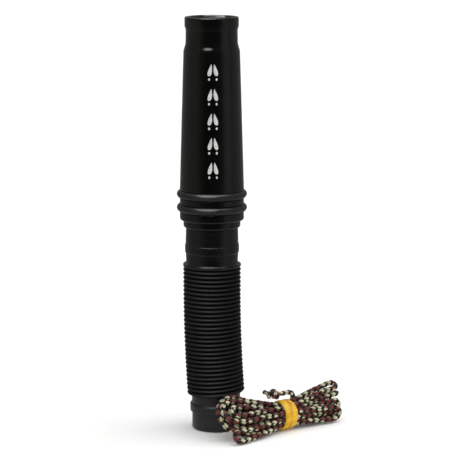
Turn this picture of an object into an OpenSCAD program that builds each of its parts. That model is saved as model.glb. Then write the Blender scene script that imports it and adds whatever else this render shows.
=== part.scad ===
// Grunt tube call: a tapered barrel with two grip rings, a reed assembly that plugs
// into its lower end, and a pleated hose, standing on the hose's open cuff. A neck
// lanyard, folded into a banded hank, lies against the foot.
// Millimetres. +Z runs up the call to the mouth, and z = 0 is the surface it stands on.

/* [Barrel] */
// Height of the whole call, from the surface to the mouth rim
total_h = 235; // [230:1:245]
// Outside diameter of the barrel just above the grip rings
barrel_low_od = 36.2; // [36:0.1:37]
// Outside diameter of the barrel just below the shoulder
barrel_top_od = 31.6; // [31:0.1:32.5]
// Outside diameter of the neck, where a lanyard is tied
neck_od = 29; // [28.5:0.1:29.5]
// Outside diameter of the mouth rim
lip_od = 30.3; // [30:0.1:31]
// Bore of the mouth
mouth_bore = 22; // [20:0.5:23]
// Bore of the socket at the barrel's lower end
socket_bore = 28; // [27.8:0.1:28.4]

/* [Grip rings] */
// Outside diameter of the two rubber rings
grip_ring_od = 39.6; // [39.2:0.1:40]
// Thickness of the rubber they are made of
grip_ring_cord = 4.4; // [4:0.1:4.6]
// Distance between the two rings
grip_ring_step = 7.7; // [7.2:0.1:8.2]

/* [Reed assembly] */
// Outside diameter of the collar that shows between barrel and hose
collar_od = 32.2; // [31.5:0.1:33]
// Height of that collar
collar_h = 4.4; // [4:0.1:5]
// Outside diameter of the spigot inside the hose cuff
spigot_od = 26.9; // [26.5:0.1:27.1]
// Diameter of the tone board's round plug
board_plug_d = 14; // [13:0.5:14]
// Length of the tone board's tongue above its plug
tongue_l = 47; // [40:1:48]
// Width of the reed
reed_w = 9.2; // [8:0.1:10]
// Thickness of the reed
reed_t = 0.35; // [0.3:0.05:0.5]

/* [Hose] */
// Outside diameter over the pleats
hose_od = 32; // [31.5:0.1:32.5]
// Distance from one pleat to the next, pushed together
pleat_pitch = 2.43; // [2.3:0.01:2.5]
// Bore of the pleated stretch
hose_bore = 27.2; // [26.5:0.1:27.6]
// Length of each plain cuff
cuff_l = 20.5; // [20:0.5:21.5]
// Outside diameter of the lower cuff's open end
cuff_od = 27.3; // [27:0.1:27.8]
// Bore of the lower cuff
cuff_bore = 24.7; // [24.2:0.1:25]
// How far the lower cuff stands to one side of the barrel's axis
lean = 2.2; // [0:0.1:2.5]

/* [Lanyard] */
// Diameter of the braided cord
cord_d = 3.2; // [3:0.1:3.8]
// Direction that the hank lies in, from +X
hank_turn = 36.5; // [36:0.5:40]
// Diameter of the hank where the rubber band holds it
waist_d = 15.2; // [14.8:0.2:17]
// Width of the rubber band round the hank
band_w = 9; // [8:1:12]
// Thickness of the rubber band
band_t = 1; // [0.8:0.1:1.2]

/* [Hidden] */
$fn = 96;

// Colours
shell_black = [0.05, 0.05, 0.055];
hose_black = [0.1, 0.1, 0.105];
rubber_black = [0.08, 0.08, 0.08];
board_ivory = [0.86, 0.84, 0.76];
reed_clear = [0.75, 0.82, 0.86];
cord_camo = [0.45, 0.4, 0.32];
band_yellow = [0.86, 0.65, 0.16];

eps = 0.01;             // lets one cutter run past the face it cuts

// Pleats in each stretch of the hose, from the foot up. One rigid pleat joins two stretches.
lower_pleats = 12;
middle_pleats = 8;
upper_pleats = 8;
crest_r = 1.08;                                     // rounding of a pleat's crest
z_lower_pleats = cuff_l;
z_lower_ring = z_lower_pleats + lower_pleats * pleat_pitch;
z_middle_pleats = z_lower_ring + pleat_pitch;
z_upper_ring = z_middle_pleats + middle_pleats * pleat_pitch;
z_upper_pleats = z_upper_ring + pleat_pitch;
z_flange = z_upper_pleats + upper_pleats * pleat_pitch;
flange_h = 2.1;                                     // the plain ring that ends the pleats
flange_od = hose_od + 0.3;
z_upper_cuff = z_flange + flange_h;
z_collar = z_upper_cuff + 21;
z_barrel = z_collar + collar_h;

// Barrel
z_lower_grip = z_barrel + 6.9;
z_upper_grip = z_lower_grip + grip_ring_step;
grip_centre_r = (grip_ring_od - grip_ring_cord) / 2;
groove_floor_r = grip_centre_r - grip_ring_cord / 2 - 0.05;
groove_half = grip_ring_cord / 2 + 0.1;
skirt_r = barrel_low_od / 2;
skirt_chamfer = 0.7;
z_shoulder = total_h - 18.6;                        // where the taper ends
z_neck = total_h - 14.2;                            // where the shoulder meets the neck
z_lip = total_h - 5.7;
lip_round = 0.9;
mouth_l = 10;                                       // straight length of the mouth bore

// Reed assembly
board_plug_l = 13.5;
z_plug = z_collar + 1;                              // lower end of the tone board's plug
z_tongue = z_plug + board_plug_l;
z_tip = z_tongue + tongue_l;
tongue_r = 6;
channel_w = 3.6;                                    // air channel along the tone board
channel_deep = 3.2;
ramp_tip_gap = 1.3;                                 // gap from the board's tip to the reed
hub_r = board_plug_d / 2 + 2;
plug_top = z_barrel + 16;                           // upper end of the holder inside the barrel
holder_plug_r = socket_bore / 2 - 0.1;
holder_bore_r = 11.5;
z_spigot = z_upper_cuff + 3;
seal_cord = 1.5;
seal_ring_r = socket_bore / 2 - 0.02 - seal_cord / 2;
z_seal = z_barrel + 8.5;
tuning_cord = 1.8;
tuning_gap = 0.15;                                  // room between the tuning ring and the board
z_tuning = z_tongue + 9;

// Hank, on its own axes [along, across, up]. It fans out at both ends, leaning back as it
// rises, and is round and narrow under the band.
hank_at = [42.6, -5];
band_at = -2;
waist_half = band_w / 2 + 1;
waist_z = band_t + waist_d / 2;
waist_sides = 12;
left_fan_r = 5.5;
left_fan = [[-40, -8, 5.5], [-40, 7.5, 18], [-34, 6, 19.5]];
right_fan_r = 5;
right_fan = [[36, -2, 5], [38, 3, 16.5], [37, 5, 8]];

// Route of the free end on the same axes: out from under the band and back over it in a low
// arch, to a knot that lies on the hank
free_end_path = [
    [3.6, 1.4, 15], [5.2, 1.5, 16], [6, 1.4, 17.8], [5.2, 1.2, 19.6], [3, 0.8, 20.6],
    [0.2, 0.4, 20.8], [-2.6, 0, 20.7], [-5.6, -0.3, 21.2]
];
knot_at = [-11.6, -0.5, 22.2];
knot_r = 3.8;

// Sideways place of the hose's axis at height z: straight under the barrel, curving over to the foot
function lean_at(z) =
    let (t = max(0, min(1, (z_upper_pleats + 4 - z) / (z_upper_pleats + 4 - cuff_l))))
    lean * pow(t, 1.8);

// Points of a quarter round about a centre, from one angle to another
function arc(cx, cy, r, from, to, steps = 6) =
    [for (i = [0:steps]) let (a = from + (to - from) * i / steps) [cx + r * cos(a), cy + r * sin(a)]];

// Places an object on the hank's own axes
module along_hank() {
    translate([hank_at[0], hank_at[1], 0])
        rotate([0, 0, hank_turn])
            children();
}

// ---- Barrel ----

// Cuts the seat of one grip ring
module grip_groove(z) {
    translate([groove_floor_r, z - groove_half])
        square([grip_ring_cord, 2 * groove_half]);
    translate([skirt_r, z - groove_half])
        circle(r = 0.35, $fn = 24);
    translate([skirt_r, z + groove_half])
        circle(r = 0.35, $fn = 24);
}

module barrel() {
    lip_r = lip_od / 2;
    neck_r = neck_od / 2;
    mouth_r = mouth_bore / 2;
    socket_r = socket_bore / 2;
    shoulder_r = barrel_top_od / 2;
    blend_r = shoulder_r - neck_r;
    color(shell_black)
        rotate_extrude()
            difference() {
                polygon(concat(
                    [[socket_r, z_barrel], [skirt_r - skirt_chamfer, z_barrel]],
                    [[skirt_r, z_barrel + skirt_chamfer], [skirt_r, z_upper_grip + 3]],
                    [[shoulder_r, z_shoulder]],
                    arc(shoulder_r - 2.2, z_shoulder, 2.2, 0, 52, 5),
                    [[neck_r, z_neck], [neck_r, z_lip - 1]],
                    [[neck_r + 0.25, z_lip - 1], [neck_r + 0.25, z_lip]],
                    [[lip_r - 0.3, z_lip], [lip_r, z_lip + 0.3]],
                    arc(lip_r - lip_round, total_h - lip_round, lip_round, 0, 90),
                    [[mouth_r + 0.8, total_h - 0.5], [mouth_r, total_h - 1.3]],
                    [[mouth_r, total_h - 1.3 - mouth_l], [mouth_r + 1.7, total_h - 19]],
                    [[socket_r, plug_top + 6]]
                ));
                grip_groove(z_lower_grip);
                grip_groove(z_upper_grip);
            }
}

// A round rubber ring standing on the barrel
module grip_ring(z) {
    color(rubber_black)
        translate([0, 0, z])
            rotate_extrude()
                translate([grip_centre_r, 0])
                    circle(d = grip_ring_cord, $fn = 48);
}

module upper_grip_ring() { grip_ring(z_upper_grip); }
module lower_grip_ring() { grip_ring(z_lower_grip); }

// ---- Reed assembly ----

module reed_holder() {
    spigot_r = spigot_od / 2;
    collar_r = collar_od / 2;
    plug_r = board_plug_d / 2;
    seal_half = seal_cord / 2 + 0.1;
    color(shell_black)
        rotate_extrude()
            difference() {
                polygon(concat(
                    [[holder_bore_r, z_spigot], [spigot_r - 0.8, z_spigot]],
                    [[spigot_r, z_spigot + 2], [spigot_r, z_collar]],
                    arc(collar_r - 1.3, z_collar + 1.3, 1.3, -90, 0),
                    [[collar_r, z_barrel], [holder_plug_r, z_barrel]],
                    [[holder_plug_r, plug_top - 1], [holder_plug_r - 0.8, plug_top]],
                    [[holder_bore_r, plug_top], [holder_bore_r, z_plug + 4]],
                    [[hub_r, z_plug + 4], [hub_r, z_tongue - 0.5], [plug_r, z_tongue - 0.5]],
                    [[plug_r, z_plug], [holder_bore_r, z_collar - 2]]
                ));
                translate([seal_ring_r - seal_cord / 2 - 0.02, z_seal - seal_half])
                    square([2, 2 * seal_half]);
            }
}

module holder_seal_ring() {
    color(rubber_black)
        translate([0, 0, z_seal])
            rotate_extrude()
                translate([seal_ring_r, 0])
                    circle(d = seal_cord, $fn = 32);
}

// Keeps the half of its children that lies behind the reed
module behind(y) {
    intersection() {
        children();
        translate([-20, y, z_plug - 1])
            cube([40, 20, tongue_l + board_plug_l + 2]);
    }
}

module tone_board() {
    ramp = atan(ramp_tip_gap / (tongue_l - 3));
    color(board_ivory)
        difference() {
            behind(0)
                union() {
                    translate([0, 0, z_plug])
                        cylinder(d = board_plug_d - 0.04, h = board_plug_l);
                    translate([0, 0, z_tongue - eps])
                        cylinder(r = tongue_r, h = tongue_l + eps);
                }
            // Air channel, open under the reed and out of the plug's lower end
            translate([-channel_w / 2, -1, z_plug - 1])
                cube([channel_w, channel_deep + 1, tongue_l + board_plug_l - 6]);
            // The face falls away from the reed towards the tip
            translate([-tongue_r - 1, 0, z_tongue + 3])
                rotate([-ramp, 0, 0])
                    translate([0, -5, 0])
                        cube([2 * tongue_r + 2, 5, tongue_l]);
            // Rounded tip
            translate([-tongue_r - 1, tongue_r, z_tip])
                rotate([45, 0, 0])
                    translate([0, -2, -2])
                        cube([2 * tongue_r + 2, 4, 4]);
        }
}

module reed_blade() {
    z_foot = z_plug + 1.5;
    length = z_tip - 2 - z_foot;
    color(reed_clear)
        translate([0, 0, z_foot])
            rotate([90, 0, 0])
                linear_extrude(reed_t)
                    union() {
                        translate([-reed_w / 2, 0])
                            square([reed_w, length - reed_w / 2]);
                        translate([0, length - reed_w / 2])
                            circle(d = reed_w);
                    }
}

module reed_wedge() {
    color(board_ivory)
        intersection() {
            translate([0, 0, z_plug])
                cylinder(d = board_plug_d - 0.04, h = board_plug_l + 1);
            translate([-20, -20 - reed_t, z_plug - 1])
                cube([40, 20, board_plug_l + 4]);
        }
}

// A rubber ring stretched to a D round the tongue and the reed
module tuning_ring() {
    r = tuning_cord / 2;
    back_r = tongue_r + tuning_gap + r;
    front_y = reed_t + tuning_gap + r;
    corner_x = back_r - front_y;
    color(rubber_black)
        translate([0, 0, z_tuning]) {
            rotate_extrude(angle = 180)
                translate([back_r, 0])
                    circle(r = r, $fn = 32);
            for (side = [0, 1])
                mirror([side, 0, 0])
                    translate([corner_x, 0, 0])
                        rotate([0, 0, -90])
                            rotate_extrude(angle = 90)
                                translate([front_y, 0])
                                    circle(r = r, $fn = 32);
            translate([-corner_x, -front_y, 0])
                rotate([0, 90, 0])
                    cylinder(r = r, h = 2 * corner_x, $fn = 32);
        }
}

// ---- Hose: one moulding, in separate stretches where it bends and stretches ----

// One pleat: a rounded crest on a thin wall, standing on z
module pleat(z) {
    crest_x = hose_od / 2 - crest_r;
    translate([lean_at(z + pleat_pitch / 2), 0, z])
        rotate_extrude()
            union() {
                translate([hose_bore / 2, 0])
                    square([crest_x - hose_bore / 2, pleat_pitch]);
                translate([crest_x, pleat_pitch / 2])
                    circle(r = crest_r, $fn = 32);
            }
}

module pleats(z, count) {
    color(hose_black)
        for (i = [0:count - 1])
            pleat(z + i * pleat_pitch);
}

module hose_upper_pleats() { pleats(z_upper_pleats, upper_pleats); }
module hose_upper_ring() { pleats(z_upper_ring, 1); }
module hose_middle_pleats() { pleats(z_middle_pleats, middle_pleats); }
module hose_lower_ring() { pleats(z_lower_ring, 1); }
module hose_lower_pleats() { pleats(z_lower_pleats, lower_pleats); }

// The upper cuff is stretched over the spigot, so it is wider than the lower one
module hose_upper_cuff() {
    bead_z = z_upper_cuff + 6.6;
    bead_h = 4.6;
    bead_r = 15.3;
    low_r = 14.5;
    mid_r = 14.95;
    end_r = 14.7;
    spigot_r = spigot_od / 2;
    color(hose_black)
        rotate_extrude()
            polygon(concat(
                [[hose_bore / 2, z_flange], [flange_od / 2 - 0.7, z_flange]],
                arc(flange_od / 2 - 0.8, z_flange + 1, 0.8, -60, 60),
                [[low_r, z_upper_cuff], [mid_r, bead_z - 0.4]],
                arc(bead_r - 0.4, bead_z + 0.4, 0.4, -60, 0, 3),
                arc(bead_r - 0.4, bead_z + bead_h - 0.4, 0.4, 0, 60, 3),
                [[mid_r, bead_z + bead_h + 0.3], [end_r, z_collar]],
                [[spigot_r, z_collar], [spigot_r, z_spigot]]
            ));
}

module hose_lower_cuff() {
    bead_z = 9.8;
    bead_h = 4.7;
    bead_r = 14.8;
    end_r = cuff_od / 2;
    top_r = end_r + 0.15;
    color(hose_black)
        translate([lean, 0, 0])
            rotate_extrude()
                polygon(concat(
                    [[cuff_bore / 2, 0], [end_r - 0.4, 0], [end_r, 0.4]],
                    [[end_r, bead_z - 0.3]],
                    arc(bead_r - 0.5, bead_z + 0.5, 0.5, -60, 0, 3),
                    arc(bead_r - 0.5, bead_z + bead_h - 0.5, 0.5, 0, 60, 3),
                    [[top_r, bead_z + bead_h + 0.3], [top_r, cuff_l - 1.4]],
                    [[hose_od / 2 - crest_r, cuff_l], [hose_bore / 2 - 0.1, cuff_l]],
                    [[cuff_bore / 2, cuff_l - 1]]
                ));
}

// ---- Lanyard ----

// One flared end of the hank, from the round waist to the loops: end is -1 on the left, 1 on
// the right
module hank_fan(loops, r, end) {
    hull() {
        for (loop = loops)
            translate(loop)
                sphere(r = r, $fn = 20);
        translate([band_at + end * waist_half, 0, waist_z])
            rotate([0, end * 90, 0])
                cylinder(d = waist_d, h = 0.1, $fn = waist_sides);
    }
}

module lanyard_hank() {
    color(cord_camo)
        along_hank() {
            translate([band_at - waist_half, 0, waist_z])
                rotate([0, 90, 0])
                    cylinder(d = waist_d, h = 2 * waist_half, $fn = waist_sides);
            hank_fan(left_fan, left_fan_r, -1);
            hank_fan(right_fan, right_fan_r, 1);
        }
}

module hank_rubber_band() {
    color(band_yellow)
        along_hank()
            translate([band_at - band_w / 2, 0, waist_z])
                rotate([0, 90, 0])
                    linear_extrude(band_w)
                        difference() {
                            circle(d = waist_d + 2 * band_t);
                            circle(d = waist_d, $fn = waist_sides);
                        }
}

// Points and radii of the knot, as a bulge of the tube
knot_angles = [-65:26:65];
knot_path = [for (a = knot_angles) knot_at - [knot_r * sin(a), 0, 0]];
knot_radii = [for (a = knot_angles) knot_r * cos(a)];

// Rings of a tube that is swept along a path, each ring square to the path
function path_step(p, i) =
    let (d = p[min(i + 1, len(p) - 1)] - p[max(i - 1, 0)])
    d / norm(d);
function tube_ring(p, i, r, sides) =
    let (
        d = path_step(p, i),
        side = [-d[1], d[0], 0] / norm([-d[1], d[0], 0]),
        up = cross(d, side)
    )
    [for (k = [0:sides - 1]) p[i] + r * (cos(360 * k / sides) * side + sin(360 * k / sides) * up)];

module swept_tube(p, radii, sides = 8) {
    rings = len(p);
    points = [for (i = [0:rings - 1]) each tube_ring(p, i, radii[i], sides)];
    walls = [
        for (i = [0:rings - 2], k = [0:sides - 1])
            let (n = (k + 1) % sides)
            [i * sides + k, (i + 1) * sides + k, (i + 1) * sides + n, i * sides + n]
    ];
    polyhedron(
        points,
        concat(
            walls,
            [[for (k = [0:sides - 1]) k]],
            [[for (k = [sides - 1:-1:0]) (rings - 1) * sides + k]]
        )
    );
}

module lanyard_free_end() {
    color(cord_camo)
        along_hank()
            swept_tube(
                concat(free_end_path, knot_path),
                concat([for (p = free_end_path) cord_d / 2], knot_radii)
            );
}

barrel();
upper_grip_ring();
lower_grip_ring();
reed_holder();
holder_seal_ring();
tone_board();
reed_blade();
reed_wedge();
tuning_ring();
hose_upper_cuff();
hose_upper_pleats();
hose_upper_ring();
hose_middle_pleats();
hose_lower_ring();
hose_lower_pleats();
hose_lower_cuff();
lanyard_hank();
lanyard_free_end();
hank_rubber_band();
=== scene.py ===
"""Looks of a grunt tube call: barrel, grip rings, reed assembly, pleated hose and lanyard."""
import math
import bmesh
import bpy
import numpy as np
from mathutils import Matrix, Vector


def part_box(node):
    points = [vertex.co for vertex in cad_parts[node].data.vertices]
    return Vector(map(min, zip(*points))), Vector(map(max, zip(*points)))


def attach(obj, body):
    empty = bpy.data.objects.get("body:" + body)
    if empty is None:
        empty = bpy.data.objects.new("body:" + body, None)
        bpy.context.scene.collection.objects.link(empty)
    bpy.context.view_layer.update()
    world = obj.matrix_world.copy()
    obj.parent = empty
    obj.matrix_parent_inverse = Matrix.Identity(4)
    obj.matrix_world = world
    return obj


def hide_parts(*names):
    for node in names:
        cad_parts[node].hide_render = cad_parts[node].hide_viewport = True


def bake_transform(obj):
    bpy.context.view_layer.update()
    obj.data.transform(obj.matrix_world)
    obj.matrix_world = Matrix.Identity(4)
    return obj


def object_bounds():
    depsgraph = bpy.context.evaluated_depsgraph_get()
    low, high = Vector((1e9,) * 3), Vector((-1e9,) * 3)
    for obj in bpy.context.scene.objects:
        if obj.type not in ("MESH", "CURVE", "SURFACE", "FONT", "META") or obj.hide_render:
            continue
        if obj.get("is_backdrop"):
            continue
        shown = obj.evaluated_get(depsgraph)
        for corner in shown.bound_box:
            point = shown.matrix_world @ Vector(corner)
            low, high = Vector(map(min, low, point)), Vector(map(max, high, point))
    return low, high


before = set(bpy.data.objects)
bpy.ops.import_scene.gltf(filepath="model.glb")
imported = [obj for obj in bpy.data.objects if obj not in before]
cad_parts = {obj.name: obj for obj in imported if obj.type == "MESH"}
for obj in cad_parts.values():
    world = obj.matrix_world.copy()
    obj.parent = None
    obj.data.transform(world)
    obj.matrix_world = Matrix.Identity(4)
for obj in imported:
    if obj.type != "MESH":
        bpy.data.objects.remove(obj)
cad_low, cad_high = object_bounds()
MM = 0.001

# ---------------------------------------------------------------- places taken from the frame


def span(node):
    """Lowest and highest z of a CAD node, in millimetres."""
    low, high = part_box(node)
    return low.z / MM, high.z / MM


Z_BARREL, TOTAL_H = span("barrel")
Z_COLLAR = span("hose_upper_cuff")[1]
Z_FLANGE = span("hose_upper_pleats")[1]
CUFF_L = span("hose_lower_cuff")[1]
PITCH = span("hose_lower_ring")[1] - span("hose_lower_ring")[0]
Z_UPPER_GRIP = sum(span("upper_grip_ring")) / 2
Z_LOWER_GRIP = sum(span("lower_grip_ring")) / 2
# The hose leans sideways below LEAN_TOP, until its foot stands LEAN away from the barrel's axis
LEAN = (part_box("hose_lower_cuff")[0].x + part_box("hose_lower_cuff")[1].x) / 2 / MM
LEAN_TOP = span("hose_upper_pleats")[0] + 4
LEAN_POWER = 1.8
# Radius of the bead round the hose's foot, which the hank leans against
FOOT_BEAD_R = 14.8

# The hank's own axes, in millimetres: along it, across it (away from the front) and up
HANK_AT = np.array([42.6, -5.0, 0.0])
HANK_TURN = math.radians(36.5)
ALONG = np.array([math.cos(HANK_TURN), math.sin(HANK_TURN), 0.0])
ACROSS = np.array([-math.sin(HANK_TURN), math.cos(HANK_TURN), 0.0])
UP = np.array([0.0, 0.0, 1.0])
CORD_D = 3.2
# The rubber band's thickness and width, and its middle along the hank
BAND_T, BAND_W, BAND_AT = 1.0, 9.0, -2.0
# Radius of the bundle of cord inside the band, and height of its middle
WAIST_R = 7.6
WAIST_Z = BAND_T + WAIST_R


def hank_to_world(points):
    """Points on the hank's own axes, in millimetres, put on the frame's axes, in metres."""
    p = np.asarray(points, float).reshape(-1, 3)
    return (HANK_AT + p[:, :1] * ALONG + p[:, 1:2] * ACROSS + p[:, 2:3] * UP) * MM


# ---------------------------------------------------------------- camera

CAMERA_AT = (0.0102, -1.15, 0.3167)
LOOKS_DOWN = 9.97
camera_data = bpy.data.cameras.new("camera")
camera_data.sensor_width = 36.0
camera_data.lens = 161.5
camera = bpy.data.objects.new("camera", camera_data)
bpy.context.scene.collection.objects.link(camera)
camera.location = CAMERA_AT
camera.rotation_euler = (math.radians(90 - LOOKS_DOWN), 0, 0)
bpy.context.scene.camera = camera

# ---------------------------------------------------------------- the cord's route

# Route of the free end up to its knot, as part.scad has it: [along, across, up] in millimetres
FREE_END = [
    [3.6, 1.4, 15], [5.2, 1.5, 16], [6, 1.4, 17.8], [5.2, 1.2, 19.6], [3, 0.8, 20.6],
    [0.2, 0.4, 20.8], [-2.6, 0, 20.7], [-5.6, -0.3, 21.2],
]
KNOT_AT = np.array([-11.6, -0.5, 22.2])
# In the waist the runs lie on two circles of these radii, with this many places on each
INNER, OUTER = 2.35, 5.9
INNER_PLACES, OUTER_PLACES = 4, 11
# Each run of the hank, in the order of the cord: where it lies at the left end (across, up), in
# the waist (which circle, and which place on it) and at the right end (across, up)
RUNS = [
    [None, (INNER, 0), (1.5, 9.6)],
    [(2.6, 11.9), (OUTER, 8), (7.0, 8.6)],
    [(-1.3, 8.5), (INNER, 3), (1.6, 5.4)],
    [(4.9, 9.0), (OUTER, 7), (7.6, 4.4)],
    [(-0.2, 4.6), (OUTER, 6), (4.6, 1.8)],
    [(-7.4, 3.1), (OUTER, 5), (-2.0, 1.8)],
    [(11.0, 21.4), (OUTER, 10), (4.2, 20.4)],
    [(-2.0, 13.4), (OUTER, 1), (1.6, 18.5)],
    [(3.2, 17.4), (INNER, 1), (1.2, 14.6)],
    [(7.0, 14.0), (OUTER, 9), (6.8, 13.4)],
    [(-4.0, 6.2), (INNER, 2), (-2.2, 12.2)],
    [(-8.8, 6.2), (OUTER, 3), (-2.2, 5.4)],
    [(-11.4, 1.8), (OUTER, 4), (-6.0, 2.4)],
    [(-4.9, 10.6), (OUTER, 2), (-5.6, 9.0)],
    [(6.6, 20.2), (OUTER, 0), None],
]
# How far along the hank each turn reaches, in the order of the cord
RIGHT_TIPS = [38.0, 39.5, 37.5, 38.5, 40.0, 37.0, 35.0]
LEFT_TIPS = [-38.0, -39.0, -46.0, -39.5, -42.0, -44.5, -44.5]
# Where the cord's hidden end lies
START = (-20.0, 3.5, 11.0)
# Half the straight stretch that each run has in the waist
WAIST_HALF = 3.0
# Places along a leg: the share of the way to the tip, and the share of the way out from the waist
LEG_SHARES = ((0.26, 0.24), (0.6, 0.74))
# How far a U-turn reaches past its legs, as a share of the distance between them
TURN_REACH = 0.62


def waist_place(i):
    """Where run i passes through the waist, across and up."""
    circle, place = RUNS[i][1]
    if circle == INNER:
        a = math.radians(45 + place * 360 / INNER_PLACES)
    else:
        a = math.radians(90 + place * 360 / OUTER_PLACES)
    return np.array([circle * math.cos(a), WAIST_Z + circle * math.sin(a)])


def half_turn(a, b, tip):
    """Places round a U-turn at the hank's end, from the leg at a to the leg at b."""
    a, b = np.array(a, float), np.array(b, float)
    reach = TURN_REACH * np.linalg.norm(b - a)
    middle = (a + b) / 2
    start = tip - math.copysign(reach, tip)
    return [
        (start + math.sin(t) * (tip - start), *(middle + math.cos(t) * (a - middle)))
        for t in np.linspace(0, math.pi, 5)
    ]


def leg(a, b, far):
    """Places along a leg between the waist at a and the end place b, towards a tip far along."""
    return [(far * k, *(a + w * (np.array(b) - a))) for k, w in LEG_SHARES]


def lanyard_points():
    """Places along the cord from its hidden end, through its runs and turns, to its knot."""
    points = [START]
    for i in range(len(RUNS)):
        waist = waist_place(i)
        heading = 1 if i % 2 == 0 else -1
        if RUNS[i][0] is not None and heading > 0:
            points += leg(waist, RUNS[i][0], LEFT_TIPS[i // 2 - 1])[::-1]
        if heading < 0:
            points += leg(waist, RUNS[i][2], RIGHT_TIPS[i // 2])[::-1]
        points += [(BAND_AT + way * WAIST_HALF * heading, *waist) for way in (-1, 1)]
        if i == len(RUNS) - 1:
            break
        end = 2 if heading > 0 else 0
        tip = RIGHT_TIPS[i // 2] if heading > 0 else LEFT_TIPS[i // 2]
        points += leg(waist, RUNS[i][end], tip)
        points += half_turn(RUNS[i][end], RUNS[i + 1][end], tip)
    return points[:-1] + FREE_END


def lengths(line):
    """How far along a line each of its points lies."""
    return np.concatenate([[0], np.cumsum(np.linalg.norm(np.diff(line, axis=0), axis=1))])


def resample(line, step):
    """The same line with its points at an even step."""
    far = lengths(line)
    at = np.linspace(0, far[-1], int(round(far[-1] / step)) + 1)
    return np.column_stack([np.interp(at, far, line[:, i]) for i in range(3)])


def smooth_curve(points, step):
    """A smooth curve through the points (Catmull-Rom), given as a line with an even step."""
    p = np.array(points, float)
    p = np.vstack([2 * p[0] - p[1], p, 2 * p[-1] - p[-2]])
    t = np.linspace(0, 1, 24, endpoint=False)[:, None]
    fine = []
    for a, b, c, d in zip(p, p[1:], p[2:], p[3:]):
        fine.append(0.5 * (2 * b + (c - a) * t + (2 * a - 5 * b + 4 * c - d) * t**2
                           + (3 * b - 3 * c + d - a) * t**3))
    return resample(np.vstack(fine + [p[-2:-1]]), step)


def settle(line, step):
    """Pushes the cord's turns apart, over the floor, off the hose's foot and into the band.

    Each round also draws the cord back to the line it started from and evens out its steps."""
    rounds = 170
    p = line.copy()
    count = len(p)
    gap = CORD_D * 0.98  # turns that touch press into one another a little
    same_turn = int(8 / step)  # points closer along the cord than 8 mm don't push
    near = np.abs(np.subtract.outer(np.arange(count), np.arange(count))) < same_turn
    foot = (np.array([LEAN, 0.0]) - HANK_AT[:2]) @ np.array([ALONG[:2], ACROSS[:2]]).T
    clear_of_foot = FOOT_BEAD_R + CORD_D / 2 + 0.3
    clear_of_floor = CORD_D / 2 + 0.12
    in_band = WAIST_R - CORD_D / 2
    held = np.arange(count) < count - 24 / step  # the last 24 mm lie over the band
    draw_back, push_apart, even_out = 0.012, 0.7, 0.45
    smooth, swell = 0.24, 0.22  # the second undoes most of the shrinking that the first does
    for _ in range(rounds):
        p += draw_back * (line - p)
        apart = p[:, None] - p[None]
        far = np.linalg.norm(apart, axis=2) + 1e-9
        push = np.where((far < gap) & ~near, (gap - far) / far, 0.0)
        share = np.maximum((push > 0).sum(1), 1)[:, None]
        p += push_apart * (push[:, :, None] * apart).sum(1) / share
        p[1:-1] += smooth * (p[:-2] + p[2:] - 2 * p[1:-1])
        p[1:-1] -= swell * (p[:-2] + p[2:] - 2 * p[1:-1])
        d = np.diff(p, axis=0)
        pull = even_out * d * (1 - step / np.linalg.norm(d, axis=1)[:, None])
        p[:-1] += pull
        p[1:] -= pull
        out = p[:, 1:] - np.array([0, WAIST_Z])
        r = np.linalg.norm(out, axis=1)
        tight = (np.abs(p[:, 0] - BAND_AT) < BAND_W / 2 + 1) & (r > in_band) & held
        p[tight, 1:] -= out[tight] * (1 - in_band / r[tight])[:, None]
        side = p[:, :2] - foot
        r = np.linalg.norm(side, axis=1)
        close = r < clear_of_foot
        p[close, :2] += side[close] * (clear_of_foot / r[close] - 1)[:, None]
        p[:, 2] = np.maximum(p[:, 2], clear_of_floor)
    return resample(p, step)


def knot_points():
    """An overhand knot, drawn tight, centred at KNOT_AT, and the end of its short tail."""
    size, depth = 1.2, 1.9
    tail_end = [-2.6, 3.0, 0.9]
    t = np.linspace(-2.0, 2.06, 26)
    turns = np.column_stack([
        size * (3 * t - t**3),
        size * (t**4 - 4 * t**2 + 1),
        depth * np.sin(math.pi * t / 0.95),
    ])
    return list(KNOT_AT + turns) + [KNOT_AT + tail_end]


# Steps along the cord, in millimetres: while it settles, and when its yarns are laid
ROUTE_STEP, CORD_STEP = 1.8, 0.64
KNOT_STEPS = 64
route = settle(smooth_curve(lanyard_points(), ROUTE_STEP), ROUTE_STEP)
route = smooth_curve(list(route[:-1]) + knot_points(), CORD_STEP)
knot = route[-KNOT_STEPS - 1:]
for _ in range(8):
    knot[1:-1] += 0.25 * (knot[:-2] + knot[2:] - 2 * knot[1:-1])
centre_line = hank_to_world(route)

# ---------------------------------------------------------------- mesh helpers


def add_mesh(name, vertices, faces, uvs=None, sharp=30.0):
    """A mesh piece with smooth shading and sharp edges above an angle. Vertices are in metres."""
    mesh = bpy.data.meshes.new(name)
    mesh.from_pydata(np.asarray(vertices, float).tolist(), [], [list(f) for f in faces])
    mesh.validate()
    layer = bmesh.new()
    layer.from_mesh(mesh)
    bmesh.ops.recalc_face_normals(layer, faces=layer.faces)
    layer.to_mesh(mesh)
    layer.free()
    if uvs is not None:
        uv = mesh.uv_layers.new(name="UVMap").data
        for loop in mesh.loops:
            uv[loop.index].uv = uvs[loop.vertex_index]
    mesh.shade_smooth()
    mesh.set_sharp_from_angle(angle=math.radians(sharp))
    piece = bpy.data.objects.new(name, mesh)
    bpy.context.scene.collection.objects.link(piece)
    return piece


def grid_faces(rings, sides, closed=True):
    """Quads between rings of vertices, and from the last ring back to the first if closed."""
    faces = []
    for i in range(rings if closed else rings - 1):
        for k in range(sides):
            a, b = i * sides, (i + 1) % rings * sides
            n = (k + 1) % sides
            faces.append((a + k, b + k, b + n, a + n))
    return faces


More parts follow.
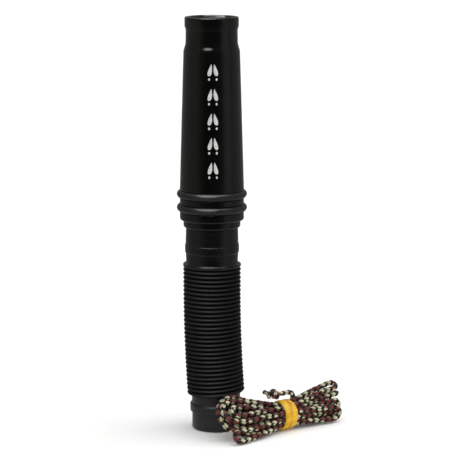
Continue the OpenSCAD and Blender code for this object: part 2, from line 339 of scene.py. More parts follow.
def rounded(corners):
    """A closed outline of (r, z) points. Each corner is given as (r, z, radius) of its arc.

    An arc takes up under half of each side beside it, so a large radius may come out smaller."""
    steps, most = 5, 0.48
    points = []
    for i, corner in enumerate(corners):
        here = np.array(corner[:2], float)
        a = np.array(corners[i - 1][:2], float) - here
        b = np.array(corners[(i + 1) % len(corners)][:2], float) - here
        a_long, b_long = np.linalg.norm(a), np.linalg.norm(b)
        a, b = a / a_long, b / b_long
        half = math.acos(max(-1.0, min(1.0, float(a @ b)))) / 2
        cut = min(corner[2] / math.tan(half), most * a_long, most * b_long)
        radius = cut * math.tan(half)
        centre = here + (a + b) / np.linalg.norm(a + b) * radius / math.sin(half)
        start, end = here + a * cut - centre, here + b * cut - centre
        turn = math.pi - 2 * half
        for k in range(steps + 1):
            w = k / steps
            mix = (math.sin((1 - w) * turn) * start + math.sin(w * turn) * end) / math.sin(turn)
            points.append(centre + mix)
    return points


def upright(r, a, z):
    """A place on a piece that is turned round the barrel's axis."""
    return r * math.cos(a), r * math.sin(a), z


def lean_at(z):
    """Sideways place of the hose's axis at height z, as part.scad has it."""
    t = max(0.0, min(1.0, (LEAN_TOP - z) / (LEAN_TOP - CUFF_L)))
    return LEAN * t**LEAN_POWER


def leaning(r, a, z):
    """A place on the hose, whose rings stand square to its leaning axis."""
    slope = lean_at(z + 0.5) - lean_at(z - 0.5)
    return lean_at(z) + r * math.cos(a), r * math.sin(a), z - slope * r * math.cos(a)


def on_foot(r, a, z):
    """A place on the hose's foot, which stands upright beside the barrel's axis."""
    return LEAN + r * math.cos(a), r * math.sin(a), z


def lathe(name, outline, place=upright, segments=160):
    """A ring-shaped piece: a closed outline of (r, z) points, in millimetres, turned round Z."""
    count = len(outline)
    along = lengths(np.array(outline, float))
    vertices, uvs = [], []
    for i in range(segments):
        a = 2 * math.pi * i / segments
        for k, (r, z) in enumerate(outline):
            vertices.append(place(r, a, z))
            uvs.append((i / segments, along[k] / 100))
    return add_mesh(name, np.array(vertices) * MM, grid_faces(segments, count), uvs)


def unit(vectors):
    """The same directions with length 1."""
    return vectors / np.linalg.norm(vectors, axis=1)[:, None]


def path_frames(line):
    """Two directions square to a path, carried along it without twist."""
    along = unit(np.gradient(line, axis=0))
    side = np.zeros_like(line)
    s = np.cross(along[0], (0, 0, 1.0))
    for i, t in enumerate(along):
        s = s - t * (s @ t)
        s /= np.linalg.norm(s)
        side[i] = s
    return side, np.cross(along, side)


def sweep(line, wide, thick, side, up, sides):
    """Vertices and faces of a closed tube along a line, with an oval section."""
    angles = np.arange(sides) * 2 * math.pi / sides
    ring = (
        line[:, None]
        + np.cos(angles)[None, :, None] * (wide[:, None] * side)[:, None]
        + np.sin(angles)[None, :, None] * (thick[:, None] * up)[:, None]
    )
    faces = grid_faces(len(line), sides, closed=False)
    faces.append(tuple(range(sides)))
    faces.append(tuple((len(line) - 1) * sides + k for k in reversed(range(sides))))
    return ring.reshape(-1, 3), faces


# ---------------------------------------------------------------- materials


class Material:
    """A node material built up in a few calls. Texture scales are per millimetre."""

    def __init__(self, name, colour, roughness, **sockets):
        self.material = bpy.data.materials.new(name)
        self.material.use_nodes = True
        self.tree = self.material.node_tree
        self.shader = self.tree.nodes["Principled BSDF"]
        self.shader.inputs["Base Color"].default_value = (*colour, 1)
        self.shader.inputs["Roughness"].default_value = roughness
        for socket, value in sockets.items():
            self.shader.inputs[socket.replace("_", " ")].default_value = value
        self.bump = None

    def node(self, kind, **settings):
        """A new node. Each setting is one of its inputs or one of its properties."""
        node = self.tree.nodes.new(kind)
        for key, value in settings.items():
            if key in node.inputs:
                node.inputs[key].default_value = value
            else:
                setattr(node, key, value)
        return node

    def link(self, a, b):
        """Joins an output to an input."""
        self.tree.links.new(a, b)

    def place(self, stretch=(1, 1, 1), uv=False):
        """Coordinates in millimetres on the piece, or its UVs, stretched along each axis."""
        source = self.node("ShaderNodeTexCoord").outputs["UV" if uv else "Object"]
        mapping = self.node("ShaderNodeMapping")
        size = 1 if uv else 1000
        mapping.inputs["Scale"].default_value = [size * k for k in stretch]
        self.link(source, mapping.inputs["Vector"])
        return mapping.outputs["Vector"]

    def noise(self, scale, detail, stretch=(1, 1, 1), uv=False):
        """A cloudy value round 0.5."""
        noise = self.node("ShaderNodeTexNoise", Scale=scale, Detail=detail)
        self.link(self.place(stretch, uv), noise.inputs["Vector"])
        return noise.outputs["Fac"]

    def spread(self, value, low, high, start=0.3, end=0.7):
        """Maps a texture value from start..end onto low..high."""
        spread = self.node("ShaderNodeMapRange")
        spread.inputs["From Min"].default_value = start
        spread.inputs["From Max"].default_value = end
        spread.inputs["To Min"].default_value = low
        spread.inputs["To Max"].default_value = high
        self.link(value, spread.inputs["Value"])
        return spread.outputs["Result"]

    def ramp(self, value, stops):
        """A colour ramp over a texture value. Stops are (position, colour)."""
        ramp = self.node("ShaderNodeValToRGB")
        elements = ramp.color_ramp.elements
        while len(elements) < len(stops):
            elements.new(0.5)
        for element, (position, colour) in zip(elements, stops):
            element.position = position
            element.color = (*colour, 1)
        self.link(value, ramp.inputs["Fac"])
        return ramp.outputs["Color"]

    def mix(self, factor, under, over):
        """Lays a plain colour over a node's colour, by a factor from 0 to 1."""
        factor_in, under_in, over_in, colour_out = 0, 6, 7, 2  # sockets of a Mix node for colours
        mix = self.node("ShaderNodeMix", data_type="RGBA")
        self.link(factor, mix.inputs[factor_in])
        self.link(under, mix.inputs[under_in])
        mix.inputs[over_in].default_value = (*over, 1)
        return mix.outputs[colour_out]

    def colour(self, output):
        """Takes the base colour from a node's output."""
        self.link(output, self.shader.inputs["Base Color"])

    def roughness(self, output):
        """Takes the roughness from a node's output."""
        self.link(output, self.shader.inputs["Roughness"])

    def raise_by(self, height, distance_mm, strength):
        """Adds a bump of that height in millimetres."""
        bump = self.node("ShaderNodeBump", Strength=strength, Distance=distance_mm * MM)
        self.link(height, bump.inputs["Height"])
        if self.bump is not None:
            self.link(self.bump, bump.inputs["Normal"])
        self.bump = bump.outputs["Normal"]
        self.link(self.bump, self.shader.inputs["Normal"])

    def dress(self, *pieces):
        """Makes this the only material of each piece."""
        for piece in pieces:
            piece.data.materials.clear()
            piece.data.materials.append(self.material)


def gloss_plastic():
    """Polished black moulded plastic with faint handling marks."""
    m = Material("gloss_black_plastic", (0.0026, 0.0026, 0.0025), 0.14)
    m.roughness(m.spread(m.noise(0.09, 4), 0.06, 0.14))
    dark, light = (0.0022, 0.0022, 0.0021), (0.0032, 0.0032, 0.003)
    m.colour(m.ramp(m.noise(0.05, 2), [(0.3, dark), (0.7, light)]))
    m.raise_by(m.noise(0.35, 2), 0.012, 0.5)
    m.raise_by(m.noise(1.4, 2, stretch=(1, 1, 0.12)), 0.003, 0.5)
    return m


def cuff_plastic(name, colour, roughness):
    """Satin black plastic of the hose and its cuffs, with faint blow-moulding streaks."""
    m = Material(name, colour, roughness)
    m.roughness(m.spread(m.noise(0.3, 4), roughness - 0.03, roughness + 0.06))
    dark, light = tuple(0.8 * c for c in colour), tuple(1.3 * c for c in colour)
    m.colour(m.ramp(m.noise(0.12, 4, stretch=(1, 1, 2.5)), [(0.3, dark), (0.7, light)]))
    m.raise_by(m.noise(2.2, 3), 0.012, 0.6)
    m.raise_by(m.noise(0.4, 2, stretch=(1, 1, 3)), 0.015, 0.4)
    return m


def ring_rubber():
    """Black rubber of the grip rings and the inner rings, a little dusty."""
    m = Material("black_ring_rubber", (0.006, 0.006, 0.0062), 0.3)
    m.roughness(m.spread(m.noise(0.5, 4), 0.24, 0.38))
    clean, dusty = (0.005, 0.005, 0.005), (0.011, 0.011, 0.012)
    m.colour(m.ramp(m.noise(0.8, 5), [(0.35, clean), (0.75, dusty)]))
    m.raise_by(m.noise(3.0, 3), 0.01, 0.6)
    return m


def ivory_board():
    """Ivory moulded plastic of the tone board, which lets a little light in."""
    m = Material("ivory_board_plastic", (0.72, 0.68, 0.56), 0.38, Subsurface_Weight=0.1)
    m.shader.inputs["Subsurface Radius"].default_value = (0.002, 0.0015, 0.001)
    m.colour(m.ramp(m.noise(0.15, 3), [(0.3, (0.66, 0.62, 0.5)), (0.7, (0.76, 0.72, 0.6))]))
    m.roughness(m.spread(m.noise(0.8, 3), 0.3, 0.46))
    m.raise_by(m.noise(1.5, 2, stretch=(1, 1, 0.3)), 0.01, 0.5)
    return m


def reed_film():
    """Clear polyester film of the reed, with fine scratches along it."""
    m = Material("clear_reed_film", (0.8, 0.88, 0.92), 0.12, Transmission_Weight=0.6, IOR=1.5)
    m.roughness(m.spread(m.noise(0.6, 3, stretch=(1, 1, 0.1)), 0.08, 0.24))
    m.raise_by(m.noise(0.8, 2, stretch=(1, 1, 0.1)), 0.006, 0.5)
    return m


def cork():
    """Pressed cork granules of the wedge."""
    m = Material("agglomerated_cork", (0.5, 0.31, 0.17), 0.85)
    cells = m.node("ShaderNodeTexVoronoi", Scale=0.9)
    m.link(m.place(), cells.inputs["Vector"])
    granule, between = (0.56, 0.37, 0.2), (0.34, 0.19, 0.09)
    grain = m.ramp(cells.outputs["Distance"], [(0.1, granule), (0.75, between)])
    m.colour(m.mix(m.spread(m.noise(0.5, 4), 0.0, 1.0), grain, (0.42, 0.25, 0.13)))
    m.raise_by(cells.outputs["Distance"], -0.12, 0.8)
    return m


def yellow_rubber():
    """A worn yellow rubber band, a little waxy, with fine wrinkles across it and painted shade
    along the seam between its two turns.
    """
    m = Material("yellow_band_rubber", (0.7, 0.4, 0.02), 0.5, Specular_IOR_Level=0.3)
    amber, yellow, pale = (0.6, 0.3, 0.004), (0.78, 0.46, 0.01), (0.9, 0.64, 0.05)
    base = m.ramp(m.noise(0.3, 5), [(0.3, amber), (0.5, yellow), (0.72, pale)])
    worn = m.mix(m.spread(m.noise(1.3, 4), 0.0, 0.5), base, (0.45, 0.18, 0.006))
    # Painted shade: the band is darkened to a reddish brown along the seam where its two turns meet
    painted_seam_shade = m.node("ShaderNodeAttribute", attribute_name="painted_seam_shade").outputs["Fac"]
    m.colour(m.mix(m.spread(painted_seam_shade, 0.0, 0.75, 0.0, 1.0), worn, (0.3, 0.06, 0.02)))
    m.roughness(m.spread(m.noise(0.9, 3), 0.38, 0.62))
    m.raise_by(m.noise(0.9, 3), 0.1, 0.6)
    m.raise_by(m.noise(4.0, 2), 0.03, 0.5)
    return m


def yarn():
    """Spun yarn, coloured by its place in the braid, with fibres along it and a soft sheen."""
    m = Material("camo_braid_yarn", (0.4, 0.35, 0.25), 0.78, Specular_IOR_Level=0.15,
                 Sheen_Weight=0.03, Sheen_Roughness=0.5)
    tint = m.node("ShaderNodeAttribute", attribute_name="yarn").outputs["Color"]
    fibres = m.noise(1.0, 3, stretch=(9, 60, 1), uv=True)
    dirt = m.noise(0.25, 3)
    shaded = m.mix(m.spread(fibres, 0.0, 0.5, 0.35, 0.65), tint, (0.009, 0.008, 0.006))
    m.colour(m.mix(m.spread(dirt, 0.0, 0.22), shaded, (0.02, 0.016, 0.011)))
    m.raise_by(fibres, 0.12, 0.7)
    return m


def melted_tip():
    """Dark glassy blob where the cord's end was melted to seal it."""
    m = Material("melted_cord_tip", (0.03, 0.018, 0.012), 0.3)
    m.colour(m.ramp(m.noise(1.2, 4), [(0.3, (0.012, 0.008, 0.006)), (0.7, (0.09, 0.05, 0.03))]))
    m.raise_by(m.noise(1.5, 3), 0.15, 0.7)
    return m


def print_ink():
    """White printing ink, rubbed thin in places."""
    m = Material("white_print", (0.75, 0.75, 0.74), 0.45)
    m.colour(m.ramp(m.noise(1.2, 5), [(0.32, (0.34, 0.34, 0.34)), (0.55, (0.6, 0.6, 0.59))]))
    m.raise_by(m.noise(3.0, 3), 0.01, 0.5)
    return m


# ---------------------------------------------------------------- lanyard: braided cord and band

# Length of cord in which a yarn goes once round it
BRAID_PITCH = 18.0
# Half widths of the light and the dark yarns, and half of their thickness
LIGHT_WIDE, DARK_WIDE, YARN_THICK = 0.69, 0.63, 0.44
# How far a yarn rises and sinks as it passes over and under, and how much it widens on top
WEAVE, WIDENS, THICKENS = 0.26, 0.26, 0.1
CREAM, MAROON = (0.68, 0.63, 0.43), (0.21, 0.049, 0.045)
OLIVE, BLACK = (0.02, 0.025, 0.014), (0.003, 0.003, 0.003)
# Colours of the four yarns that go each way round
YARNS = {1: (CREAM, CREAM, MAROON, MAROON), -1: (BLACK, OLIVE, BLACK, OLIVE)}
YARN_SIDES, CORE_SIDES = 6, 4
# The cord is drawn thin over its last stretch, which holds the knot
KNOT_LENGTH, KNOT_EASE, KNOT_THIN = 45, 10, 0.14


def braid(name, line):
    """Eight yarns round a core, which pass over and under one another along a line (mm)."""
    side, up = path_frames(line)
    far = lengths(line)
    end_taper, end_thin = 2.0, 0.35  # the cord narrows to this share over its last 2 mm
    ease = np.clip(np.minimum(far, far[-1] - far) / end_taper, end_thin, 1.0)
    ease *= 1 - KNOT_THIN * np.clip((far - far[-1] + KNOT_LENGTH) / KNOT_EASE, 0, 1)
    mean = (CORD_D / 2 - YARN_THICK - WEAVE) * ease
    vertices, faces, uvs, tints = [], [], [], []

    def add(v, f, length, colour, sides):
        """Adds one swept yarn, with UVs round and along it and one colour."""
        faces.extend(tuple(i + len(vertices) for i in face) for face in f)
        vertices.extend(v)
        ring = np.abs(np.arange(sides) * 2 / sides - 1)
        uvs.extend((u, d / 100) for d in length for u in ring)
        tints.extend([colour] * len(v))

    for way, width in ((1, LIGHT_WIDE), (-1, DARK_WIDE)):
        over = way * np.cos(8 * math.pi * far / BRAID_PITCH)
        for k, colour in enumerate(YARNS[way]):
            a = way * 2 * math.pi * far / BRAID_PITCH + k * math.pi / 2
            out = np.cos(a)[:, None] * side + np.sin(a)[:, None] * up
            mine = line + (mean + WEAVE * over)[:, None] * out
            wide = width * (1 + WIDENS * over) * ease
            thick = YARN_THICK * (1 + THICKENS * over) * ease
            across = unit(np.cross(unit(np.gradient(mine, axis=0)), out))
            v, f = sweep(mine, wide, thick, across, out, YARN_SIDES)
            add(v.tolist(), f, far, (*colour, 1.0), YARN_SIDES)
    core = 0.95 * mean[::3]
    v, f = sweep(line[::3], core, core, side[::3], up[::3], CORE_SIDES)
    add(v.tolist(), f, far[::3], (*BLACK, 1.0), CORE_SIDES)
    piece = add_mesh(name, hank_to_world(vertices), faces, uvs, sharp=80)
    layer = piece.data.color_attributes.new("yarn", "FLOAT_COLOR", "POINT")
    layer.data.foreach_set("color", np.array(tints, float).ravel())
    return piece


def rubber_band():
    """Two turns of a yellow band round the waist of the hank, side by side and a little crossed."""
    around, points_across = 160, 13
    # How squarely a turn's back is crowned, how wide the painted shade along the seam between the
    # turns is, how far the underside is sunk into the cord, and how far the band's two edges stay
    # inside its width
    squareness, seam_shade_width, sunk, inset = 3.5, 0.45, 0.1, 0.3
    # Height of a turn's edges and of its crown above them, as shares of the band's thickness
    edge_up, crown_up = 0.2, 0.72
    rng = np.random.default_rng(7)
    waves = [(k, rng.uniform(0, 2 * math.pi), rng.uniform(0.3, 1.0) / k) for k in (2, 3, 5, 8)]
    vertices, painted_seam_shades = [], []
    for i in range(around):
        a = 2 * math.pi * i / around
        wave = sum(w * math.sin(k * a + p) for k, p, w in waves)
        seam = 0.4 + 0.9 * math.sin(a + 0.9) + 0.3 * wave
        edge = (
            -BAND_W / 2 + inset + 0.25 * wave,
            BAND_W / 2 - inset + 0.2 * math.sin(3 * a + wave),
        )
        # The band rides over the outer runs of cord
        inner = WAIST_R - 0.05 + 0.13 * math.cos(OUTER_PLACES * (a - math.pi / 2))
        ring = []
        for k in range(points_across):
            w = k / (points_across - 1)
            s = edge[0] + (edge[1] - edge[0]) * w
            near, far = (edge[0], seam) if s < seam else (edge[1], seam)
            mine = (s - near) / (far - near)
            crown = max(0.0, 1 - abs(2 * mine - 1) ** squareness) ** 0.5
            ripple = 0.05 * math.sin(23 * a + 3 * w) + 0.04 * math.sin(37 * a - 5 * w)
            ring.append((s, inner + BAND_T * (edge_up + crown_up * crown) + ripple * crown))
            # Painted shade, strongest on the seam between the two turns and fading away from it
            painted_seam_shades.append(math.exp(-((s - seam) / seam_shade_width) ** 2))
        for k in range(points_across):
            w = 1 - k / (points_across - 1)
            ring.append((edge[0] + (edge[1] - edge[0]) * w, inner - sunk))
            painted_seam_shades.append(0.0)
        for s, r in ring:
            vertices.append((BAND_AT + s, r * math.cos(a), WAIST_Z + r * math.sin(a)))
    faces = grid_faces(around, 2 * points_across)
    piece = add_mesh("rubber_band", hank_to_world(vertices), faces, sharp=50)
    # Carries the painted seam shade to the band's material
    piece.data.attributes.new("painted_seam_shade", "FLOAT", "POINT").data.foreach_set("value", painted_seam_shades)
    return piece


def melted_end():
    """The sealed tip of the cord's tail, a small uneven blob."""
    rings, radius = 9, 1.45
    line = np.array([
        route[-1] + (route[-1] - route[-4]) * k for k in np.linspace(-0.5, 0.45, rings)
    ])
    side, up = path_frames(line)
    bulge = radius * np.sqrt(np.clip(1 - np.linspace(-0.75, 0.985, rings) ** 2, 0.02, 1))
    v, f = sweep(line, bulge, bulge * 0.9, side, up, 14)
    return add_mesh("lanyard_sealed_tip", hank_to_world(v), f, sharp=60)


cord = braid("lanyard_cord", route)
tip = melted_end()
band = rubber_band()
yarn().dress(cord)
melted_tip().dress(tip)
yellow_rubber().dress(band)
for piece, slot in ((cord, "lanyard_cord"), (tip, "lanyard_cord"), (band, "band_rubber")):
    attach(piece, "lanyard")
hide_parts("lanyard_hank", "lanyard_free_end")
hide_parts("hank_rubber_band")
tuple(centre_line[0])

# ---------------------------------------------------------------- barrel

NECK_R, LIP_R, SHOULDER_R, SKIRT_R = 14.5, 15.15, 15.8, 18.1
# The taper runs from above the upper grip ring to the shoulder below the waisted neck
Z_TAPER, Z_SHOULDER = Z_UPPER_GRIP + 3.0, TOTAL_H - 18.6
# The bores at the mouth, between them and at the socket for the reed holder
MOUTH_R, THROAT_R, SOCKET_R = 11.0, 12.7, 14.0
# A grip ring's middle radius and the diameter of its rubber
GRIP_R, GRIP_CORD = 17.6, 4.4
# A deer track: half the height and half the width of each half print, its middle's distance from
# the track's middle, how much it leans in, and the place and size of the dot behind it
HOOF_UP, HOOF_WIDE, HOOF_APART, HOOF_LEAN = 3.3, 1.3, 1.65, 0.2
DOT_APART, DOT_BELOW, DOT_WIDE, DOT_UP = 2.1, 5.1, 0.55, 0.75
# The column of tracks: its turn round the barrel, their count, the lowest one and their step
PRINT_TURN, PRINT_COUNT, PRINT_LOW, PRINT_STEP = 0.045, 5, 152.2, 13.6
# How far the ink stands proud of the barrel and how far its edge is sunk into it
INK_PROUD, INK_SUNK = 0.03, 0.05


def groove(z):
    """The groove that a grip ring lies in, from below it to above it."""
    half = GRIP_CORD / 2 + 0.1
    floor = GRIP_R - GRIP_CORD / 2 - 0.02
    return [(SKIRT_R, z - half, 0.25), (floor + 0.3, z - half, 0.4), (floor, z, 1.6),
            (floor + 0.3, z + half, 0.4), (SKIRT_R, z + half, 0.25)]


def barrel():
    """The tapered tube, from its lower edge up the outside, over the rim and down the bore."""
    skirt = [
        (SOCKET_R, Z_BARREL, 0.3), (SKIRT_R - 0.45, Z_BARREL, 0.3), (SKIRT_R, Z_BARREL + 0.7, 0.5),
    ]
    taper = [
        (SKIRT_R, Z_TAPER, 3.0), (SHOULDER_R, Z_SHOULDER, 9.0), (NECK_R + 0.1, TOTAL_H - 15.2, 9.0),
    ]
    bead = [
        (NECK_R, TOTAL_H - 6.9, 0.35), (NECK_R + 0.25, TOTAL_H - 6.7, 0.12),
        (NECK_R + 0.25, TOTAL_H - 5.7, 0.1), (LIP_R, TOTAL_H - 5.7, 0.55),
    ]
    rim = [(LIP_R, TOTAL_H, 0.9), (LIP_R - 1.6, TOTAL_H - 0.05, 0.6), (MOUTH_R, TOTAL_H - 1.3, 0.5)]
    bore = [
        (MOUTH_R, TOTAL_H - 11.3, 0.5), (THROAT_R, TOTAL_H - 19.0, 2.0),
        (SOCKET_R, Z_BARREL + 22.0, 2.0),
    ]
    grooves = groove(Z_LOWER_GRIP) + groove(Z_UPPER_GRIP)
    return lathe("barrel_shell", rounded(skirt + grooves + taper + bead + rim + bore), segments=192)


def grip_ring(name, z):
    """A rubber ring with the fine flash line of its mould round the outside."""
    steps, flash = 44, 0.07
    radius = GRIP_CORD / 2 - 0.02
    outline = []
    for k in range(steps):
        a = 2 * math.pi * k / steps
        r = radius + flash if k == 0 else radius
        outline.append((GRIP_R + r * math.cos(a), z + r * math.sin(a)))
    return lathe(name, outline, segments=192)


def half_print(z, flip, turns, rings):
    """Half of a hoof print as rings of (across, up) points: a drop with a pointed top."""
    points = []
    for j in range(1, rings + 1):
        scale = j / rings
        for k in range(turns):
            a = 2 * math.pi * k / turns
            up = HOOF_UP * math.cos(a)
            wide = HOOF_WIDE * math.sin(a) * (0.62 - 0.38 * math.cos(a)) / 0.8
            inward = HOOF_LEAN * (up + 1.0)
            points.append((flip * (HOOF_APART + scale * wide - inward), z + scale * up))
    return points


def dot_print(centre, turns, rings):
    """The oval dot behind a half print, as rings of (across, up) points."""
    points = []
    for j in range(1, rings + 1):
        wide, up = DOT_WIDE * j / rings, DOT_UP * j / rings
        for a in np.linspace(0, 2 * math.pi, turns, endpoint=False):
            points.append((centre[0] + wide * math.sin(a), centre[1] + up * math.cos(a)))
    return points


def wall_radius(z):
    """Outer radius of the tapered barrel at height z."""
    return SKIRT_R + (SHOULDER_R - SKIRT_R) * (z - Z_TAPER) / (Z_SHOULDER - Z_TAPER)


def barrel_print():
    """A column of deer tracks printed up the front of the barrel, as a skin of ink."""
    vertices, faces = [], []

    def patch(centre, points, rings, turns):
        """A filled patch with a thin edge: a middle point, rings of points and a sunk rim."""
        base = len(vertices)
        flat = [(*centre, INK_PROUD)] + [(x, z, INK_PROUD) for x, z in points]
        flat += [(x, z, -INK_SUNK) for x, z in points[-turns:]]
        for x, z, lift in flat:
            r = wall_radius(z) + lift
            a = PRINT_TURN + x / wall_radius(z)
            vertices.append((r * math.sin(a), -r * math.cos(a), z))
        for k in range(turns):
            n = (k + 1) % turns
            faces.append((base, base + 1 + k, base + 1 + n))
            for j in range(rings):
                a, b = base + 1 + j * turns, base + 1 + (j + 1) * turns
                faces.append((a + k, b + k, b + n, a + n))

    for i in range(PRINT_COUNT):
        z = PRINT_LOW + i * PRINT_STEP
        for flip in (1, -1):
            rings, turns = 5, 28
            hoof = half_print(z, flip, turns, rings)
            middle = (sum(x for x, _ in hoof[-turns:]) / turns, z)
            patch(middle, hoof, rings, turns)
            rings, turns = 2, 16
            dot_at = (flip * DOT_APART, z - DOT_BELOW)
            patch(dot_at, dot_print(dot_at, turns, rings), rings, turns)
    return add_mesh("barrel_track_print", np.array(vertices) * MM, faces, sharp=60)


gloss = gloss_plastic()
rubber = ring_rubber()
barrel_shell = barrel()
upper_ring = grip_ring("upper_ring_rubber", Z_UPPER_GRIP)
lower_ring = grip_ring("lower_ring_rubber", Z_LOWER_GRIP)
tracks = barrel_print()
gloss.dress(barrel_shell)
rubber.dress(upper_ring, lower_ring)
print_ink().dress(tracks)
for piece, slot in ((barrel_shell, "barrel_plastic"), (upper_ring, "ring_rubber"),
                    (lower_ring, "ring_rubber"), (tracks, "barrel_plastic")):
    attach(piece, "barrel_assembly")
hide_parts("barrel")
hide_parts("upper_grip_ring")
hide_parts("lower_grip_ring")

# ---------------------------------------------------------------- reed holder and what it holds


def reed_holder():
    """The plug between the barrel and the hose: spigot, collar, plug, seal groove and hub."""
    spigot, collar, plug, seal = 13.45, 16.1, 13.9, 12.45
    bore, hub, board = 11.5, 9.0, 7.0
    z_spigot, z_plug_top = span("reed_holder")
    z_seal = sum(span("holder_seal_ring")) / 2
    seal_half = 0.85
    z_hub_low, z_hub_top = Z_COLLAR + 5.0, Z_COLLAR + 14.0
    outline = rounded([
        (bore, z_spigot, 0.3), (spigot - 0.8, z_spigot, 0.3), (spigot, z_spigot + 2.0, 0.6),
        (spigot, Z_COLLAR, 0.1), (collar, Z_COLLAR, 1.2), (collar, Z_BARREL, 0.3),
        (plug, Z_BARREL, 0.1), (plug, z_seal - seal_half, 0.12), (seal, z_seal - seal_half, 0.2),
        (seal, z_seal + seal_half, 0.2), (plug, z_seal + seal_half, 0.12),
        (plug, z_plug_top - 1.0, 0.4), (plug - 0.8, z_plug_top, 0.3), (bore, z_plug_top, 0.2),
        (bore, z_hub_low, 0.5), (hub, z_hub_low, 0.4), (hub, z_hub_top, 0.4),
        (board, z_hub_top, 0.2), (board, Z_COLLAR + 1.0, 0.3), (bore, Z_COLLAR - 2.0, 0.5),
    ])
    return lathe("reed_holder_body", outline)


holder = reed_holder()
gloss.dress(holder)
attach(holder, "reed_assembly")
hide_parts("reed_holder")
# These keep their CAD shapes
rubber.dress(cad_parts["holder_seal_ring"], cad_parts["tuning_ring"])
ivory_board().dress(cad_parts["tone_board"])
reed_film().dress(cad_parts["reed_blade"])
cork().dress(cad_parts["reed_wedge"])

# ---------------------------------------------------------------- hose

# Outside radius over the pleats and depth of their grooves
HOSE_R, GROOVE_DEEP = 16.4, 2.4
# How round a pleat is: 1 is a straight-sided roof and 2 a half ellipse
PLEAT_POWER = 1.75
# Mean radius inside the pleats, and how much the inside follows them
HOSE_INSIDE, SOFT = 13.95, 0.35
# Outside radius of the plain tube that the lowest pleat rolls into
TUBE_R = 13.8
# Nodes of the hose from the foot up, with the pleats in each
STRETCHES = {
    "hose_lower_pleats": 12, "hose_lower_ring": 1, "hose_middle_pleats": 8, "hose_upper_ring": 1,
    "hose_upper_pleats": 8,
}


def stretch_spans():
    """Each stretch's two ends. Its CAD solid passes them a little, because its rings lean."""
    spans, low = {}, CUFF_L
    for node, count in STRETCHES.items():
        high = low + count * PITCH
        spans[node] = (low, high)
        low = high
    return spans


def pleats(node):
    """Outline of a stretch of pleats: round crests, deep narrow grooves and a soft inside."""
    z_low, z_high = SPANS[node]
    outside, inside = [], []
    steps_outside, steps_inside = 14, 6
    for i in range(STRETCHES[node]):
        for k in range(steps_outside):
            w = 0.5 - 0.5 * math.cos(math.pi * k / steps_outside)
            deep, power = GROOVE_DEEP, PLEAT_POWER
            if node == "hose_lower_pleats" and i == 0 and w < 0.5:
                deep, power = HOSE_R - TUBE_R - 0.05, 2.0
            fall = 1 - (1 - abs(2 * w - 1) ** power) ** (1 / power)
            outside.append((HOSE_R - deep * fall, z_low + (i + w) * PITCH))
        for k in range(steps_inside):
            w = k / steps_inside
            inside.append((HOSE_INSIDE - SOFT * math.cos(2 * math.pi * w), z_low + (i + w) * PITCH))
    outside.append((HOSE_R - GROOVE_DEEP, z_high))
    inside.append((HOSE_INSIDE - SOFT, z_high))
    return outside + inside[::-1]


def upper_cuff():
    """The cuff over the reed holder's spigot: a flange, a long sleeve with a bead, and a stop."""
    z = Z_FLANGE
    flange, sleeve, bead, bore, stop = 16.45, 14.9, 15.3, 13.47, 13.0
    return lathe("upper_cuff_body", rounded([
        (13.6, z, 0.2), (14.5, z, 0.1), (14.5, z + 0.45, 0.1), (flange, z + 0.45, 0.7),
        (flange, z + 2.1, 0.4), (14.55, z + 2.1, 0.6),
        (sleeve, z + 8.7, 0.4), (bead, z + 9.0, 0.45), (bead, z + 13.2, 0.3),
        (14.95, z + 13.3, 0.15), (sleeve, z + 16.0, 3.0), (14.7, Z_COLLAR, 0.35),
        (bore, Z_COLLAR, 0.2), (bore, z + 5.1, 0.2), (stop, z + 4.6, 0.3), (stop, z + 2.0, 0.5),
    ]))


def lower_cuff():
    """The hose's open foot, with its bead and a short sleeve up inside the pleats."""
    bore, sleeve_top = 12.35, CUFF_L + 2.0
    return lathe("lower_cuff_body", rounded([
        (bore, 0.0, 0.3), (13.65, 0.0, 0.5), (13.7, 9.6, 0.3), (FOOT_BEAD_R - 0.05, 10.0, 0.5),
        (FOOT_BEAD_R, 14.2, 0.5), (13.85, 14.7, 0.5), (TUBE_R, sleeve_top, 0.2),
        (12.6, sleeve_top, 0.2), (bore, 18.0, 1.0),
    ]), place=on_foot)


def hose_piece(name, node):
    """One stretch of the hose, made and dressed."""
    piece = lathe(name, pleats(node), place=leaning)
    hose_material.dress(piece)
    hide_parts(node)
    return piece


SPANS = stretch_spans()
hose_material = cuff_plastic("satin_hose_plastic", (0.0026, 0.0027, 0.0026), 0.54)
hose_material.shader.inputs["Specular IOR Level"].default_value = 0.25
collar_material = cuff_plastic("satin_collar_plastic", (0.0026, 0.0026, 0.0026), 0.26)
cuff_material = cuff_plastic("matte_cuff_plastic", (0.0075, 0.0075, 0.0075), 0.32)
for name, node, low_body, high_body in (
    ("hose_pleats_low", "hose_lower_pleats", "hose_foot", "lower_ring"),
    ("hose_pleats_middle", "hose_middle_pleats", "lower_ring", "upper_ring"),
    ("hose_pleats_high", "hose_upper_pleats", "upper_ring", "reed_assembly"),
):
    piece = hose_piece(name, node)
    low, high = SPANS[node]
    low_end = (lean_at(low) * MM, 0, low * MM)
    high_end = (lean_at(high) * MM, 0, high * MM)
    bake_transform(piece)
for name, node, body in (("hose_ridge_low", "hose_lower_ring", "lower_ring"),
                         ("hose_ridge_high", "hose_upper_ring", "upper_ring")):
    piece = hose_piece(name, node)
    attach(piece, body)
top_cuff, foot_cuff = upper_cuff(), lower_cuff()
collar_material.dress(top_cuff)
cuff_material.dress(foot_cuff)
for piece, node, body in ((top_cuff, "hose_upper_cuff", "reed_assembly"),
                          (foot_cuff, "hose_lower_cuff", "hose_foot")):
    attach(piece, body)
    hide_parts(node)

# ---------------------------------------------------------------- studio

bpy.context.scene.view_settings.view_transform = "Standard"


def panel(name, size, z):
    """A flat square of the studio set, which isn't part of the object."""
    half = size / 2
    corners = [(-half, -half, 0), (half, -half, 0), (half, half, 0), (-half, half, 0)]
    piece = add_mesh(name, corners, [(0, 1, 2, 3)])
    piece.location = (0, 0, z)
    piece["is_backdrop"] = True
    return piece


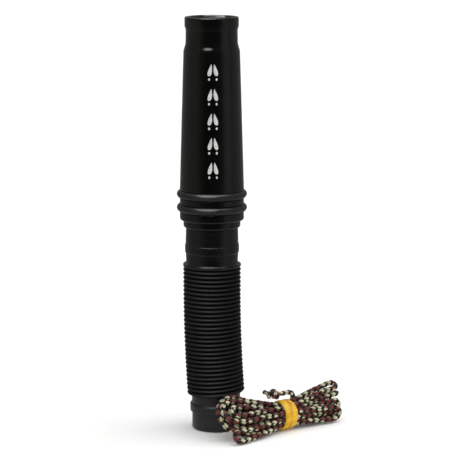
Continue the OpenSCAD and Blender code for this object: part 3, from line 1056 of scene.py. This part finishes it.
def sun(name, strength, softness, azimuth, elevation, seen_by):
    """A soft far light. Azimuth 0 is the front and 90 the right. It shows on gloss or on matte."""
    light = bpy.data.lights.new(name, "SUN")
    light.energy = strength
    light.angle = math.radians(softness)
    lamp = bpy.data.objects.new(name, light)
    lamp.rotation_euler = (math.radians(90 - elevation), 0, math.radians(azimuth))
    lamp.visible_glossy = seen_by == "gloss"
    lamp.visible_diffuse = seen_by == "matte"
    bpy.context.scene.collection.objects.link(lamp)


def softbox(name, power, size, place, colour=(1, 1, 1)):
    """A rectangular light that faces the middle of the object and shows only in its gloss."""
    light = bpy.data.lights.new(name, "AREA")
    light.shape = "RECTANGLE"
    light.size, light.size_y = size
    light.energy = power
    light.color = colour
    lamp = bpy.data.objects.new(name, light)
    lamp.location = place
    aim = Vector((0, 0, 0.12)) - Vector(place)
    lamp.rotation_euler = aim.to_track_quat("-Z", "Y").to_euler()
    lamp.visible_diffuse = False
    bpy.context.scene.collection.objects.link(lamp)


floor = panel("studio_floor", 60, -0.0003)
floor_material = Material("studio_white", (0.94, 0.94, 0.94), 0.9)
floor_material.dress(floor)
floor.visible_glossy = False

# A dim card just over the floor, which only reflections see
card = panel("bounce_card", 0.36, 0.0001)
card_glow = {"Emission_Color": (1, 1, 1, 1), "Emission_Strength": 0.4}
card_material = Material("card_glow", (0, 0, 0), 1.0, **card_glow)
card_material.dress(card)
card.visible_camera = card.visible_diffuse = card.visible_shadow = False
sun("key_sun", 2.9, 54, -19, 55, "gloss")
sun("sky_sun", 2.95, 150, 60, 66, "matte")
sun("side_sun", 0.9, 60, 98, 38, "matte")
softbox("back_box", 3.5, (0.9, 0.4), (-0.25, 1.0, 1.5))
softbox("top_box", 14.0, (2.0, 0.8), (0.0, -0.15, 1.6))
softbox("right_box", 0.38, (0.8, 1.6), (1.3, -0.75, 0.3), (0.8, 0.9, 1.0))


def studio_world():
    """An even dim room that is dark at its front end, behind the camera."""
    world = bpy.data.worlds.new("studio_world")
    bpy.context.scene.world = world
    world.use_nodes = True
    tree = world.node_tree
    where = tree.nodes.new("ShaderNodeTexCoord")
    axes = tree.nodes.new("ShaderNodeSeparateXYZ")
    tree.links.new(where.outputs["Generated"], axes.inputs[0])
    shade = tree.nodes.new("ShaderNodeMapRange")
    shade.interpolation_type = "SMOOTHSTEP"
    dark_until, even_from = -1.0, -0.42
    limits = {"From Min": dark_until, "From Max": even_from, "To Min": 0.02, "To Max": 1.0}
    for socket, value in limits.items():
        shade.inputs[socket].default_value = value
    tree.links.new(axes.outputs["Y"], shade.inputs["Value"])
    background = tree.nodes["Background"]
    background.inputs["Color"].default_value = (0.2, 0.205, 0.19, 1)
    tree.links.new(shade.outputs["Result"], background.inputs["Strength"])


studio_world()

low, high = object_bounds()
{"cad": [list(cad_low), list(cad_high)], "visual": [list(low), list(high)]}
